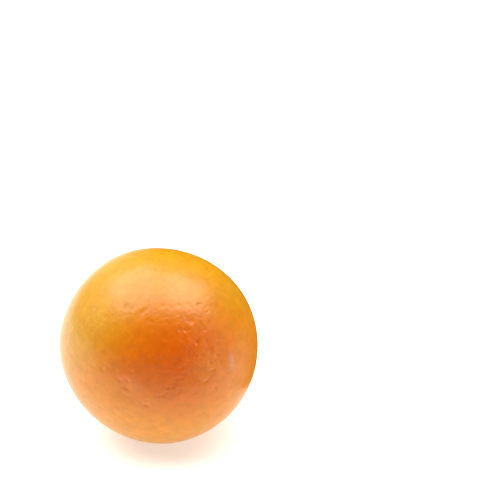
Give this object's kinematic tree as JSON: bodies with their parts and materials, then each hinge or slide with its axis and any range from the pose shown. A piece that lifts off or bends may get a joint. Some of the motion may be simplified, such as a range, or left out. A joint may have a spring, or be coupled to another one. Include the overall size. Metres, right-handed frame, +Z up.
{
  "type": "grapefruit",
  "caption": "Whole unpeeled grapefruit lying on its side, a slightly flattened ball with pitted rind, a dimpled blossom end and a lobed stem button.",
  "frame": {"origin": "middle of the small flat spot on the fruit's side that it lies on, straight below the fruit's centre", "axes": "+Z up, away from the surface it lies on; +Y along the fruit's axis towards its stem end, so the blossom end is at -Y; X across"},
  "size_m": [0.0994, 0.0905, 0.099],
  "materials": {
    "rind": "satin",
    "calyx": "matte"
  },
  "bodies": {
    "root": {"fruit": "rind", "stem_button": "calyx"}
  },
  "joints": []
}
